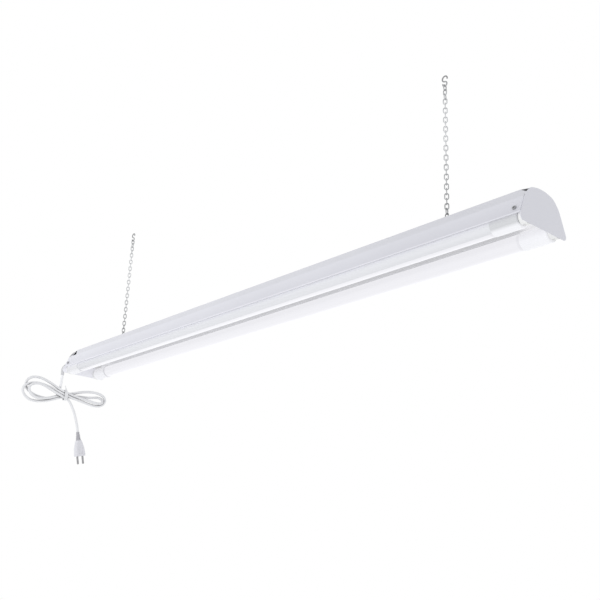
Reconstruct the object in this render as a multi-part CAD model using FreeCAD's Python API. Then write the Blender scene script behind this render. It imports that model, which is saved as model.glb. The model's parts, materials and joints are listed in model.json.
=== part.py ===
import FreeCAD, Part
import os
import math

V = FreeCAD.Vector

# ---------------------------------------------------------------------------
# Hanging two-lamp shop light, millimetres, +Z up, +X along the light.
# The origin is midway between the bearing points of the two top hooks.
# Shapes are drawn with the lamp axes near Z = 5 and moved down at the end.
# ---------------------------------------------------------------------------

# overall
LEN = 1220.0            # over both end plates
HANG_Z = 300.0          # bearing point of the top hooks in the drawing frame
HANG_X = 450.0          # each chain stands this far from the middle

# housing sheet
T_HOOD = 0.7
LIP = (50.3, 6.0)       # lower edge of the sloping side
CREASE = (39.0, 33.0)   # bend between side and facet
TOP = (24.5, 50.9)      # bend between facet and flat top
HOOD_HALF = 608.0
NOTCH_L = 14.0          # relief notch at the right end of the top bend
NOTCH_F = 14.0          # its reach down the facet
# relief opening at the left end: (distance down the facet, distance in from the end)
LEFT_NOTCH = [(3.2, 2.2), (7.0, 10.5), (22.4, 27.0), (22.4, 9.5)]
SLOT_X = 5.0            # hanger slot along X
SLOT_Y0, SLOT_Y1 = 6.0, 12.6
FLUSH_X = 300.0         # flush-mounting holes
FLUSH_R = 3.2

# end plates
T_PLATE = 0.8
PLATE_IN = LEN / 2 - T_PLATE
PLATE_BOTTOM = -5.0

# reflector pan
T_PAN = 0.6
PAN_Z = 24.0            # underside of its flat
PAN_HALF = 608.4
PAN_FLANGE_HALF = 594.0
PAN_FLANGE_Z = 31.0     # its edges turn up along the housing sides

# lamps
LAMP_Y = 33.0
LAMP_Z = 4.7
LAMP_R = 12.7
CAP_R = 13.4
LAMP_HALF = 599.7       # base face to base face is 1199.4
CAP_IN = 557.0
PIN_R = 1.2
PIN_PITCH = 12.7
PIN_L = 6.35
LENS_TURN = 52.0        # lens direction, degrees from straight down towards the middle

# lampholders
HOLD_IN = 600.2
HEAD_R = 10.8
ROTOR_R = 8.0
BORE_R = 8.05

# driver
DRV_HALF = 115.0
DRV_W = 38.0
DRV_H = 21.0

# chain
WIRE_LINK = 1.7
LINK_IN_L = 8.1
LINK_IN_W = 4.0
LINK_GAP = 0.1
N_LINKS = 28
CHAIN_TURN = {"right": 39.0, "left": -29.5}   # how far the run of links has turned about the vertical
R_HOOK = 1.1
R_HANGER = 1.2

# power cord
CORD_D = 5.8
BUSH = (-44.8, 9.6)     # where the cord passes the end plate (Y, Z)
CORD_X = -623.5
HANK_X = -625.0
HANK_T = 17.4

os.makedirs("parts", exist_ok=True)
SHIFT = V(0, 0, -HANG_Z)
NODES = []


# ------------------------------------------------------------------ helpers
def box(x0, x1, y0, y1, z0, z1):
    return Part.makeBox(x1 - x0, y1 - y0, z1 - z0, V(x0, y0, z0))


def cyl(p, d, r, h):
    return Part.makeCylinder(r, h, V(*p), V(*d))


def prism(pts, x0, x1):
    w = Part.makePolygon([V(x0, y, z) for y, z in pts] + [V(x0, pts[0][0], pts[0][1])])
    return Part.Face(w).extrude(V(x1 - x0, 0, 0))


def strip(pts, t):
    """Outline of a sheet t thick on the right-hand side of an open polyline."""
    off = []
    segs = []
    for a, b in zip(pts[:-1], pts[1:]):
        dy, dz = b[0] - a[0], b[1] - a[1]
        n = math.hypot(dy, dz)
        dy, dz = dy / n, dz / n
        segs.append(((a[0] + dz * t, a[1] - dy * t), (dy, dz), (b[0] + dz * t, b[1] - dy * t)))
    off.append(segs[0][0])
    for s, q in zip(segs[:-1], segs[1:]):
        (ay, az), (dy, dz), _ = s
        (by, bz), (ey, ez), _ = q
        det = dy * (-ez) + ey * dz
        k = ((by - ay) * (-ez) + ey * (bz - az)) / det
        off.append((ay + k * dy, az + k * dz))
    off.append(segs[-1][2])
    return list(pts) + off[::-1]


def path(points, radii):
    """One wire of straight runs joined by tangent arcs."""
    P = [V(*p) for p in points]
    edges = []
    last = P[0]
    for i in range(1, len(P) - 1):
        a = (P[i - 1] - P[i])
        b = (P[i + 1] - P[i])
        la, lb = a.Length, b.Length
        a = a.multiply(1.0 / la)
        b = b.multiply(1.0 / lb)
        turn = math.pi - a.getAngle(b)
        tl = radii[i - 1] * math.tan(turn / 2)
        p1 = P[i] + a * tl
        p2 = P[i] + b * tl
        m = (a + b)
        m = m.multiply(1.0 / m.Length)
        mid = P[i] + m * (math.hypot(radii[i - 1], tl) - radii[i - 1])
        if (p1 - last).Length > 1e-6:
            edges.append(Part.LineSegment(last, p1).toShape())
        edges.append(Part.Arc(p1, mid, p2).toShape())
        last = p2
    edges.append(Part.LineSegment(last, P[-1]).toShape())
    return Part.Wire(edges)


def auto_radii(points, factor=0.45):
    out = []
    for a, b, c in zip(points[:-2], points[1:-1], points[2:]):
        u = V(*a) - V(*b)
        w = V(*c) - V(*b)
        turn = math.pi - u.getAngle(w)
        out.append(factor * min(u.Length, w.Length) / math.tan(turn / 2))
    return out


def rod(points, r, radii=None, name=None):
    if radii is None:
        radii = auto_radii(points)
    elif isinstance(radii, (int, float)):
        radii = [radii] * (len(points) - 2)
    w = path(points, radii)
    d = V(*points[1]) - V(*points[0])
    c = Part.Wire([Part.makeCircle(r, V(*points[0]), d)])
    s = w.makePipeShell([c], True, False)
    if s.Volume < 0:
        s.reverse()
    if name:
        runs = [(V(*b) - V(*a)).Length for a, b in zip(points[:-1], points[1:])]
        print(name, "radii", [round(x, 1) for x in radii], "runs", [round(x, 1) for x in runs],
              "length", round(w.Length, 1), "volume ratio",
              round(s.Volume / (math.pi * r * r * w.Length), 4))
    return s


def ring_face(ro, ri, a0, a1):
    """Ring sector in the YZ plane about the X axis, angles from +Y towards +Z."""
    def pt(r, a):
        a = math.radians(a)
        return V(0, r * math.cos(a), r * math.sin(a))
    am = (a0 + a1) / 2
    e = [Part.Arc(pt(ro, a0), pt(ro, am), pt(ro, a1)).toShape(),
         Part.LineSegment(pt(ro, a1), pt(ri, a1)).toShape(),
         Part.Arc(pt(ri, a1), pt(ri, am), pt(ri, a0)).toShape(),
         Part.LineSegment(pt(ri, a0), pt(ro, a0)).toShape()]
    return Part.Face(Part.Wire(e))


def fuse(first, *rest):
    s = first
    for o in rest:
        s = s.fuse(o)
    return s.removeSplitter()


def mirror_x(s):
    return s.mirror(V(0, 0, 0), V(1, 0, 0))


def mirror_y(s):
    return s.mirror(V(0, 0, 0), V(0, 1, 0))


def save(name, shapes):
    """Write one node; a list of shapes is a group of separate solids."""
    if not isinstance(shapes, (list, tuple)):
        shapes = [shapes]
    solids = []
    for s in shapes:
        s = s.copy()
        s.translate(SHIFT)
        solids.extend(s.Solids)
    for s in solids:
        if not s.isValid() or s.Volume <= 0:
            print("CHECK", name, "valid", s.isValid(), "volume", s.Volume)
    out = solids[0] if len(solids) == 1 else Part.makeCompound(solids)
    out.exportStep("parts/" + name + ".step")
    NODES.append((name, len(solids)))


def side_y(z, depth=0.0):
    """Y of the front side sheet at height z, depth mm in from its outer face."""
    slope = (LIP[0] - CREASE[0]) / (CREASE[1] - LIP[1])
    n = math.hypot(1.0, slope)
    return -(LIP[0] - slope * (z - LIP[1])) + depth * n


SLOPE = (LIP[0] - CREASE[0]) / (CREASE[1] - LIP[1])
NRM = math.hypot(1.0, SLOPE)
OUTW = (0.0, -1.0 / NRM, SLOPE / NRM)      # outward normal of the front side


def screw(head, outward, head_r, head_h, shank_r, shank_l):
    """Pan-head screw: head is the centre of the head's bearing face."""
    o = V(*outward)
    c = V(*head)
    s = Part.makeCylinder(head_r, head_h, c, o)
    s = s.fuse(Part.makeCylinder(shank_r, shank_l, c, o * -1.0)).removeSplitter()
    top = c + o * (head_h - 0.9)
    ref = V(1, 0, 0) if abs(outward[0]) < 0.9 else V(0, 1, 0)
    side = o.cross(ref)
    side.normalize()
    other = o.cross(side)
    for d in (side, other):
        w = d.cross(o)
        half = head_r * 0.62
        p = [top + d * half + w * 0.4, top + d * half - w * 0.4,
             top - d * half - w * 0.4, top - d * half + w * 0.4]
        f = Part.Face(Part.makePolygon(p + [p[0]]))
        s = s.cut(f.extrude(o * 2.0))
    return s


# ------------------------------------------------------------------ housing
hem = [(-46.6, 10.5), (-48.2, 6.0)]
half = hem + [(-LIP[0], LIP[1]), (-CREASE[0], CREASE[1]), (-TOP[0], TOP[1])]
hood_pts = half + [(-y, z) for y, z in half[::-1]]
hood = prism(strip(hood_pts, T_HOOD), -HOOD_HALF, HOOD_HALF)

facet = V(0, -(CREASE[0] - TOP[0]), -(TOP[1] - CREASE[1]))
facet.normalize()
for sx in (1, -1):
    for sy in (1, -1):
        # three-sided relief: down the facet at the end, thinning along the bend
        def place(v):
            return V(v.x * sx, v.y * sy, v.z)
        c0 = V(HOOD_HALF + 1, -TOP[0], TOP[1])
        low = c0 + facet * NOTCH_F
        far = V(HOOD_HALF - NOTCH_L, -TOP[0], TOP[1])
        inward = V(0, -facet.z, facet.y)
        if inward.y < 0:
            inward = inward * -1.0
        if sx < 0:
            bend = V(HOOD_HALF, -TOP[0], TOP[1])
            tri = [place(bend + facet * d - V(back, 0, 0) - inward * 2.0) for d, back in LEFT_NOTCH]
            f = Part.Face(Part.makePolygon(tri + [tri[0]]))
            hood = hood.cut(f.extrude(place(inward * 4.0)))
            continue
        tri = [c0, low, far + facet * 1.2, far]
        shift_out = inward * -2.0
        tri = [place(p + shift_out) for p in tri]
        f = Part.Face(Part.makePolygon(tri + [tri[0]]))
        hood = hood.cut(f.extrude(place(inward * 4.0)))
        top_tri = [V(HOOD_HALF + 1, -TOP[0] - 1.5, TOP[1] - 2), V(HOOD_HALF + 1, -TOP[0] + 5, TOP[1] - 2),
                   V(HOOD_HALF - NOTCH_L, -TOP[0] + 0.6, TOP[1] - 2), V(HOOD_HALF - NOTCH_L, -TOP[0] - 1.0, TOP[1] - 2)]
        top_tri = [place(p) for p in top_tri]
        f = Part.Face(Part.makePolygon(top_tri + [top_tri[0]]))
        hood = hood.cut(f.extrude(V(0, 0, 4)))
    for sy in (1, -1):
        y0, y1 = sorted((sy * SLOT_Y0, sy * SLOT_Y1))
        hood = hood.cut(box(sx * HANG_X - SLOT_X / 2, sx * HANG_X + SLOT_X / 2, y0, y1, TOP[1] - 3, TOP[1] + 3))
    hood = hood.cut(cyl((sx * FLUSH_X, 0, TOP[1] - 3), (0, 0, 1), FLUSH_R, 6))
    hood = hood.cut(cyl((sx * 127.0, 0, TOP[1] - 3), (0, 0, 1), 2.05, 6))
    hood = hood.cut(cyl((sx * 599.0, 0, TOP[1] - 3), (0, 0, 1), 1.65, 6))

SCREW_Z = 15.0
side_heads = []
for sy in (1, -1):
    for sx in (1, -1):
        p = (sx * 598.0, side_y(SCREW_Z) * sy, SCREW_Z)
        o = (0.0, OUTW[1] * sy, OUTW[2])
        side_heads.append((p, o))
        hood = hood.cut(cyl((p[0], p[1] - o[1] * 4, p[2] - o[2] * 4), o, 1.65, 8))
save("hood", hood)

# ------------------------------------------------------------------ end caps
corner = 9.0
sy_b = -side_y(PLATE_BOTTOM)
ny, nz = SLOPE / NRM, 1.0 / NRM


def plate_face():
    b = PLATE_BOTTOM
    yb = -side_y(b)
    up = (yb - corner * SLOPE / NRM, b + corner / NRM)
    e = []
    L = V(0, -(yb - corner), b)
    R = V(0, yb - corner, b)
    mid_y, mid_z = yb - 0.446 * corner, b + 0.297 * corner
    e.append(Part.LineSegment(L, R).toShape())
    e.append(Part.Arc(R, V(0, mid_y, mid_z), V(0, up[0], up[1])).toShape())
    s1 = V(0, 39.5, 32.6)
    e.append(Part.LineSegment(V(0, up[0], up[1]), s1).toShape())
    s2 = V(0, 24.9, 48.6)
    e.append(Part.Arc(s1, V(0, 33.1, 41.5), s2).toShape())
    e.append(Part.Arc(s2, V(0, 0, 53.0), V(0, -24.9, 48.6)).toShape())
    e.append(Part.Arc(V(0, -24.9, 48.6), V(0, -33.1, 41.5), V(0, -39.5, 32.6)).toShape())
    e.append(Part.LineSegment(V(0, -39.5, 32.6), V(0, -up[0], up[1])).toShape())
    e.append(Part.Arc(V(0, -up[0], up[1]), V(0, -mid_y, mid_z), L).toShape())
    return Part.Face(Part.Wire(e))


plate = plate_face()
plate.translate(V(PLATE_IN, 0, 0))
plate = plate.extrude(V(T_PLATE, 0, 0))
z0, z1 = 12.5, 31.5
fl = []
for sy in (1, -1):
    q = [(side_y(z0, 0.7), z0), (side_y(z1, 0.7), z1), (side_y(z1, 1.5), z1), (side_y(z0, 1.5), z0)]
    fl.append(prism([(y * sy, z) for y, z in q], 596.2, PLATE_IN))
fl.append(box(596.2, PLATE_IN, -12, 12, TOP[1] - T_HOOD - 0.8, TOP[1] - T_HOOD))
cap = fuse(plate, *fl)
for p, o in side_heads:
    if p[0] > 0:
        cap = cap.cut(cyl((p[0], p[1] - o[1] * 4, p[2] - o[2] * 4), o, 1.55, 8))
cap = cap.cut(cyl((599.0, 0, TOP[1] - 3), (0, 0, 1), 1.55, 6))
save("end_cap_right", cap)
cap_l = mirror_x(cap)
cap_l = cap_l.cut(cyl((-LEN / 2 - 1, BUSH[0], BUSH[1]), (1, 0, 0), 2.6, 4))
save("end_cap_left", cap_l)

for tag, sx in (("right", 1), ("left", -1)):
    sc = [screw(p, o, 2.9, 1.9, 1.5, 2.4) for p, o in side_heads if p[0] * sx > 0]
    sc.append(screw((sx * 599.0, 0, TOP[1]), (0, 0, 1), 2.9, 1.9, 1.5, 4.5))
    save("end_cap_screws_" + tag, sc)

# ------------------------------------------------------------------ reflector pan
flat_half = 41.0
pan = prism([(-flat_half, PAN_Z), (flat_half, PAN_Z), (flat_half, PAN_Z + T_PAN), (-flat_half, PAN_Z + T_PAN)],
            -PAN_FLANGE_HALF, PAN_FLANGE_HALF)
flange = []
for sy in (1, -1):
    q = [(side_y(PAN_Z, 0.72), PAN_Z), (side_y(PAN_FLANGE_Z, 0.72), PAN_FLANGE_Z),
         (side_y(PAN_FLANGE_Z, 0.72 + T_PAN), PAN_FLANGE_Z), (side_y(PAN_Z + T_PAN, 0.72 + T_PAN), PAN_Z + T_PAN),
         (-40.5, PAN_Z + T_PAN), (-40.5, PAN_Z)]
    flange.append(prism([(y * sy, z) for y, z in q], -PAN_FLANGE_HALF, PAN_FLANGE_HALF))
tongue = box(-PAN_HALF, PAN_HALF, -39.6, 39.6, PAN_Z, PAN_Z + T_PAN)
pan = fuse(pan, flange[0], flange[1], tongue)
for sx in (1, -1):
    for sy in (1, -1):
        x0, x1 = sorted((sx * (HOLD_IN + 0.4), sx * 612))
        pan = pan.cut(box(x0, x1, sy * LAMP_Y - 4.8, sy * LAMP_Y + 4.8, PAN_Z - 2, PAN_Z + 3))
    pan = pan.cut(cyl((sx * 220.0, 0, PAN_Z - 2), (0, 0, 1), 2.05, 5))
pan = pan.cut(box(-612, -596, -50, -38.2, PAN_Z - 12, PAN_FLANGE_Z + 1))
pan = pan.cut(box(-598, -581, -50, -36.4, PAN_Z - 12, PAN_FLANGE_Z + 1))
save("reflector_pan", pan)

# cross braces between the housing top and the pan
for tag, sx in (("right", 1), ("left", -1)):
    zt = TOP[1] - T_HOOD
    zb = PAN_Z + T_PAN
    b = fuse(box(-10, 10, -20, -13.4, zt - 0.6, zt), box(-10, 10, 13.4, 20, zt - 0.6, zt),
             box(-10, 10, -14.0, -13.4, zb, zt), box(-10, 10, 13.4, 14.0, zb, zt),
             box(-10, 10, -14.0, 14.0, zb, zb + 0.6))
    b.translate(V(sx * 220.0, 0, 0))
    b = b.cut(cyl((sx * 220.0, 0, zb - 2), (0, 0, 1), 1.95, 5))
    save("brace_" + tag, b)
save("reflector_screws", [screw((sx * 220.0, 0, PAN_Z), (0, 0, -1), 4.0, 2.0, 1.9, 6.0) for sx in (1, -1)])

# ------------------------------------------------------------------ lampholders
def holder(sx, sy):
    y, z = LAMP_Y * sy, LAMP_Z
    h = cyl((HOLD_IN, y, z), (1, 0, 0), HEAD_R, PLATE_IN - HOLD_IN)
    stem = box(HOLD_IN, PLATE_IN, y - 5.5, y + 5.5, z, PAN_Z)
    neck = box(HOLD_IN + 0.5, PLATE_IN, y - 4.7, y + 4.7, PAN_Z, PAN_Z + T_PAN)
    crown = box(HOLD_IN, PLATE_IN, y - 5.2, y + 5.2, PAN_Z + T_PAN, PAN_Z + T_PAN + 5.4)
    h = fuse(h, stem, neck, crown)
    h = h.cut(cyl((HOLD_IN - 1, y, z), (1, 0, 0), BORE_R, 1 + 7.2))
    h = h.cut(box(HOLD_IN - 1, HOLD_IN + 6.2, y - 1.65, y + 1.65, z - 14, z))
    mouth = [(y - 1.65, z - 8.4), (y + 1.65, z - 8.4), (y + 3.0, z - 11.5), (y - 3.0, z - 11.5)]
    h = h.cut(prism(mouth, HOLD_IN - 1, HOLD_IN + 6.2))
    for s in (1, -1):
        y0, y1 = sorted((y + s * 7.4, y + s * 8.8))
        h = h.cut(box(HOLD_IN + 0.9, HOLD_IN + 5.9, y0, y1, z - 2.45, z + 2.45))
    # wire entry
    h = h.cut(cyl((HOLD_IN - 1, y - sy * 2.0, PAN_Z + T_PAN + 3.2), (1, 0, 0), 1.0, 4.0))
    if sx < 0:
        h = mirror_x(h)
    return h


for row, sy in (("front", -1), ("rear", 1)):
    for tag, sx in (("right", 1), ("left", -1)):
        save("lampholder_%s_%s" % (row, tag), holder(sx, sy))
for tag, sx in (("right", 1), ("left", -1)):
    leaves = []
    for sy in (1, -1):
        for s in (1, -1):
            y0, y1 = sorted((LAMP_Y * sy + s * 8.12, LAMP_Y * sy + s * 8.75))
            b = box(HOLD_IN + 1.0, HOLD_IN + 5.8, y0, y1, LAMP_Z - 2.35, LAMP_Z + 2.35)
            leaves.append(b if sx > 0 else mirror_x(b))
    save("contacts_" + tag, leaves)

# ------------------------------------------------------------------ lamps
def lamp(sy):
    turn = LENS_TURN if sy < 0 else -LENS_TURN
    half_body = 590.0
    back = ring_face(LAMP_R, LAMP_R - 1.5, -10, 190).extrude(V(2 * half_body, 0, 0))
    chord = LAMP_R * math.sin(math.radians(-10))
    web = box(0, 2 * half_body, -11.4, 11.4, chord, chord + 1.3)
    back = fuse(back, web)
    lens = ring_face(LAMP_R, LAMP_R - 0.9, 190, 350).extrude(V(2 * half_body, 0, 0))
    for s in (back, lens):
        s.translate(V(-half_body, 0, 0))
    board = box(-585, 585, -10.0, 10.0, chord - 1.0, chord)
    cap_r = cyl((CAP_IN, 0, 0), (1, 0, 0), CAP_R, LAMP_HALF - CAP_IN)
    rim = [e for e in cap_r.Edges if isinstance(e.Curve, Part.Circle) and abs(e.Curve.Center.x - LAMP_HALF) < 0.01]
    cap_r = cap_r.makeFillet(1.6, rim)
    cap_r = cap_r.cut(cyl((CAP_IN - 1, 0, 0), (1, 0, 0), LAMP_R + 0.02, LAMP_HALF - CAP_IN + 1 - 1.8))
    cap_l = mirror_x(cap_r)
    pins = []
    for sx in (1, -1):
        for s in (1, -1):
            p = cyl((LAMP_HALF, s * PIN_PITCH / 2, 0), (1, 0, 0), PIN_R, PIN_L)
            p = p.makeChamfer(0.4, [e for e in p.Edges if isinstance(e.Curve, Part.Circle)
                                    and abs(e.Curve.Center.x - LAMP_HALF - PIN_L) < 0.01])
            pins.append(p if sx > 0 else mirror_x(p))
    rot = cyl((HOLD_IN + 0.1, 0, 0), (1, 0, 0), ROTOR_R, 7.0)
    rot = rot.cut(box(HOLD_IN - 1, HOLD_IN + 6.1, -9, 9, -1.35, 1.35))
    rotors = [rot, mirror_x(rot)]
    # turn the tube body, not the pins
    for s in (back, lens, board):
        s.rotate(V(0, 0, 0), V(1, 0, 0), turn)
    groups = {"back": [back], "lens": [lens], "board": [board], "cap_right": [cap_r], "cap_left": [cap_l],
              "pins": pins, "rotors": rotors}
    for g in groups.values():
        for s in g:
            s.translate(V(0, LAMP_Y * sy, LAMP_Z))
    return groups


for row, sy in (("front", -1), ("rear", 1)):
    for key, shapes in lamp(sy).items():
        save("lamp_%s_%s" % (row, key), shapes)

# ------------------------------------------------------------------ driver
zt = TOP[1] - T_HOOD
base = box(-137, 137, -DRV_W / 2, DRV_W / 2, zt - 1.0, zt)
for sx in (1, -1):
    base = base.cut(cyl((sx * 127.0, 0, zt - 3), (0, 0, 1), 1.95, 6))
save("driver_base", base)
zc = zt - 1.0
case = box(-DRV_HALF, DRV_HALF, -DRV_W / 2, DRV_W / 2, zc - DRV_H + 1, zc)
case = case.cut(box(-DRV_HALF + 0.8, DRV_HALF - 0.8, -DRV_W / 2 + 0.8, DRV_W / 2 - 0.8, zc - DRV_H + 1.8, zc))
save("driver_case", case)
save("driver_board", box(-112, 112, -17.5, 17.5, zc - 17.6, zc - 16.0))
comps = [box(-24, 6, -12, 12, zc - 16.0, zc - 1.5), box(30, 48, -8, 12, zc - 16.0, zc - 5.0),
         cyl((-70, -6, zc - 16.0), (0, 0, 1), 6.0, 13.0), cyl((-52, 7, zc - 16.0), (0, 0, 1), 5.0, 12.0),
         cyl((72, 0, zc - 16.0), (0, 0, 1), 6.0, 13.5)]
save("driver_components", comps)
save("driver_screws", [screw((sx * 127.0, 0, TOP[1]), (0, 0, 1), 3.6, 2.2, 1.9, 5.0) for sx in (1, -1)])

# ------------------------------------------------------------------ wiring inside
def wire(points, name=None, r=0.8):
    rad = [min(x, 30.0) for x in auto_radii(points)]
    return rod(points, r, rad, name)


zh = PAN_Z + T_PAN + 3.2
right = []
for sy in (1, -1):
    right.append(wire([(DRV_HALF, 12 * sy, 38), (150, 12 * sy, 38), (196, 20 * sy, 33), (380, 20.5 * sy, 32.5),
                       (552, 20 * sy, 32), (583, 31 * sy, zh), (HOLD_IN + 2.9, 31 * sy, zh)]))
save("wires_right", right)
left = [wire([(-DRV_HALF, 12, 38), (-150, 12, 38), (-196, 20, 33), (-380, 20.5, 32.5), (-552, 20, 32),
              (-583, 31, zh), (-HOLD_IN - 2.9, 31, zh)]),
        wire([(-DRV_HALF, -13, 45), (-150, -13, 45), (-190, -17, 43), (-360, -17.4, 43.3), (-530, -17, 43),
              (-572, -27, 30.5), (-586, -31, zh), (-HOLD_IN - 2.9, -31, zh)])]
save("wires_left", left)

off = (0.75, -0.8, 0.5)
common = [(-PLATE_IN, -44.8, 9.7), (-604.6, -44.8, 9.7), (-603.6, -40.9, 19.0), (-592.5, -40.2, 20.4),
          (-587.5, -37.4, 31.2), (-560, -28, 35), (-500, -22, 36), (-350, -21, 36.3), (-215, -21, 36)]
leads = []
for s, tail in ((1, (-172, -23.5, 38)), (-1, (-172, -14.5, 34))):
    pts = [(x + off[0] * s, y + off[1] * s, z + off[2] * s) for x, y, z in common]
    pts[0] = (-PLATE_IN, pts[0][1], pts[0][2])
    pts.append((-186, tail[1], tail[2]))
    pts.append(tail)
    leads.append(wire(pts))
save("cord_leads", leads)
save("wire_splices", [cyl((-172, -23.5, 38), (1, 0, 0), 2.4, 22), cyl((-172, -14.5, 34), (1, 0, 0), 2.4, 22)])
save("driver_leads", [wire([(-150, -23.5, 38), (-142, -23.5, 38), (-127, -14, 38), (-DRV_HALF, -14, 38)]),
                      wire([(-150, -14.5, 34), (-141, -14.5, 34), (-126, -8, 34), (-DRV_HALF, -8, 34)])])

# ------------------------------------------------------------------ chain suspension
def s_hook(cx):
    r1, r2 = 3.6 + R_HOOK, 2.8 + R_HOOK
    zu = HANG_Z - 3.6
    zl = HANG_Z - 15.5 - R_HOOK + r2
    D = zu - zl
    nz_ = -(r1 + r2) / D
    nx_ = -math.sqrt(1 - nz_ * nz_)
    t1 = V(cx + r1 * nx_, 0, zu + r1 * nz_)
    t2 = V(cx - r2 * nx_, 0, zl - r2 * nz_)

    def on(zc_, r, deg):
        a = math.radians(deg)
        return V(cx + r * math.cos(a), 0, zc_ + r * math.sin(a))
    a1 = math.degrees(math.atan2(nz_, nx_)) % 360
    a2 = math.degrees(math.atan2(-nz_, -nx_)) % 360
    start = on(zu, r1, -18)
    arc1 = Part.Arc(start, on(zu, r1, (a1 - 18) / 2), t1).toShape()
    seg = Part.LineSegment(t1, t2).toShape()
    end = on(zl, r2, 162 - 360)
    arc2 = Part.Arc(t2, on(zl, r2, (a2 + 162 - 360) / 2), end).toShape()
    w = Part.Wire([arc1, seg, arc2])
    tan = V(-math.sin(math.radians(-18)), 0, math.cos(math.radians(-18)))
    c = Part.Wire([Part.makeCircle(R_HOOK, start, tan)])
    return w.makePipeShell([c], True, False), zl - r2


def link(cx, z_top, plane):
    """One oval link; z_top is the centre of its upper wire."""
    r = WIRE_LINK / 2
    rb = LINK_IN_W / 2 + r
    length = LINK_IN_L + WIRE_LINK
    zc1 = z_top - rb
    zc2 = z_top - length + rb
    u = V(1, 0, 0) if plane == "xz" else V(0, 1, 0)
    ax = V(0, 1, 0) if plane == "xz" else V(1, 0, 0)
    p = V(cx, 0, 0)
    face = Part.Face(Part.Wire([Part.makeCircle(r, p + u * rb + V(0, 0, zc1), V(0, 0, 1))]))
    c1 = p + V(0, 0, zc1)
    c2 = p + V(0, 0, zc2)
    top = face.revolve(c1, ax, 180 if plane == "yz" else -180)
    face2 = Part.Face(Part.Wire([Part.makeCircle(r, p + u * rb + V(0, 0, zc2), V(0, 0, 1))]))
    bot = face2.revolve(c2, ax, -180 if plane == "yz" else 180)
    bars = [Part.makeCylinder(r, zc1 - zc2, p + u * (s * rb) + V(0, 0, zc2), V(0, 0, 1)) for s in (1, -1)]
    out = top
    for o in [bot] + bars:
        out = out.fuse(o)
    return out.removeSplitter()


info = {}
for tag, sx in (("right", 1), ("left", -1)):
    cx = HANG_X * sx
    hook, z_h = s_hook(cx)
    save("top_hook_" + tag, hook)
    z1_top = z_h + R_HOOK + WIRE_LINK / 2 + LINK_GAP
    save("top_link_" + tag, link(cx, z1_top, "yz"))
    z1_bot = z1_top - (LINK_IN_L + WIRE_LINK)
    links = []
    zb_ = z1_bot
    for k in range(2, N_LINKS + 1):
        ztop = zb_ + WIRE_LINK + LINK_GAP
        one = link(cx, ztop, "xz" if k % 2 == 0 else "yz")
        one.rotate(V(cx, 0, 0), V(0, 0, 1), CHAIN_TURN[tag] * min(1.0, (k - 2) / 3.0, (N_LINKS - k) / 3.0))
        links.append(one)
        zb_ = ztop - (LINK_IN_L + WIRE_LINK)
    save("chain_" + tag, links)
    z_ap = zb_ + WIRE_LINK / 2 + R_HANGER + LINK_GAP
    z_end = TOP[1] - T_HOOD - 0.05 - R_HANGER
    pts = [(cx, -17.0, z_end), (cx, -9.0, z_end), (cx, -3.0, z_ap), (cx, 3.0, z_ap), (cx, 9.0, z_end),
           (cx, 17.0, z_end)]
    save("hanger_wire_" + tag, rod(pts, R_HANGER, 3.0))
    info[tag] = (z_h, z1_bot, z_ap, z_end)
print("joint heights (row frame): hook bottom %.3f, first link bottom %.3f, hanger apex %.3f, hanger ends %.3f"
      % tuple(v - HANG_Z for v in info["right"]))

# ------------------------------------------------------------------ power cord
by, bz = BUSH
xo = -LEN / 2
R_EL = CORD_X * -1 - 615.0
neck = cyl((xo, by, bz), (1, 0, 0), 2.55, T_PLATE)
root = cyl((-615.0, by, bz), (1, 0, 0), 4.1, 5.0)
rib = cyl((xo - 1.6, by, bz), (1, 0, 0), 4.6, 1.6)
f = Part.Face(Part.Wire([Part.makeCircle(4.0, V(-615.0, by, bz), V(1, 0, 0))]))
elbow = f.revolve(V(-615.0, by, bz - R_EL), V(0, 1, 0), -90)
ztop_b = bz - R_EL
snout = Part.makeCone(4.0, 3.4, 10.0, V(CORD_X, by, ztop_b), V(0, 0, -1))
bush = fuse(neck, rib, root, elbow, snout)
print("bushing box", bush.BoundBox, "solids", len(bush.Solids))
save("cord_bushing", bush)
z_mouth = ztop_b - 10.0
drop = [(CORD_X, by, z_mouth), (CORD_X, by, z_mouth - 11.0), (-624.9, -44.5, -30.6), (-627.6, -44.4, -40.4)]
save("cord_drop", rod(drop, CORD_D / 2, None, "cord_drop"))
tail = [(-620.0, -24.6, -62.6), (-621.2, -18.0, -68.8), (-622.4, -10.5, -78.5), (-623.3, -3.0, -91.5),
        (-623.9, 3.3, -107.0), (-624.0, 7.6, -119.0), (-624.0, 10.2, -130.0)]
save("cord_tail", rod(tail, CORD_D / 2, None, "cord_tail"))

lobe = [(-42, -40.9), (-54, -34.9), (-66, -29.2), (-78, -24.2), (-90, -20.9), (-102, -20.3), (-114, -22.2),
        (-121, -26.0), (-127, -32.8), (-132.4, -44.5), (-135.2, -57), (-133, -66.5), (-126, -74.2), (-115, -79.3),
        (-102, -80.0), (-88, -78.8), (-72, -75.4), (-54, -69.2), (-42, -64.1), (-28, -62.4), (-18, -60.2),
        (6, -63.4), (30, -66.8), (44, -67.3), (56, -66.4), (64, -63.6), (71, -58), (73.4, -46), (68.5, -36.4),
        (58, -31.8), (40, -30.7), (24, -31.8), (6, -35.6), (-10, -40.6), (-22, -44.2), (-30, -44.4)]
hank = prism(lobe, HANK_X - HANK_T / 2, HANK_X + HANK_T / 2)
WAIST_X = -628.1        # the strands under the tie lie in two layers
hank = hank.cut(box(HANK_X - 30, WAIST_X, -39, -26, -90, 0))
save("cord_hank", hank)
front_x = HANK_X + HANK_T / 2
inner = prism([(-36.5, -42.4), (-28.5, -44.4), (-28.5, -62.5), (-36.5, -63.5)], WAIST_X, front_x)
band = box(WAIST_X - 0.9, front_x + 0.9, -36.5, -28.5, -64.6, -41.6)
save("cord_tie", band.cut(hank).cut(inner))

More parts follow.
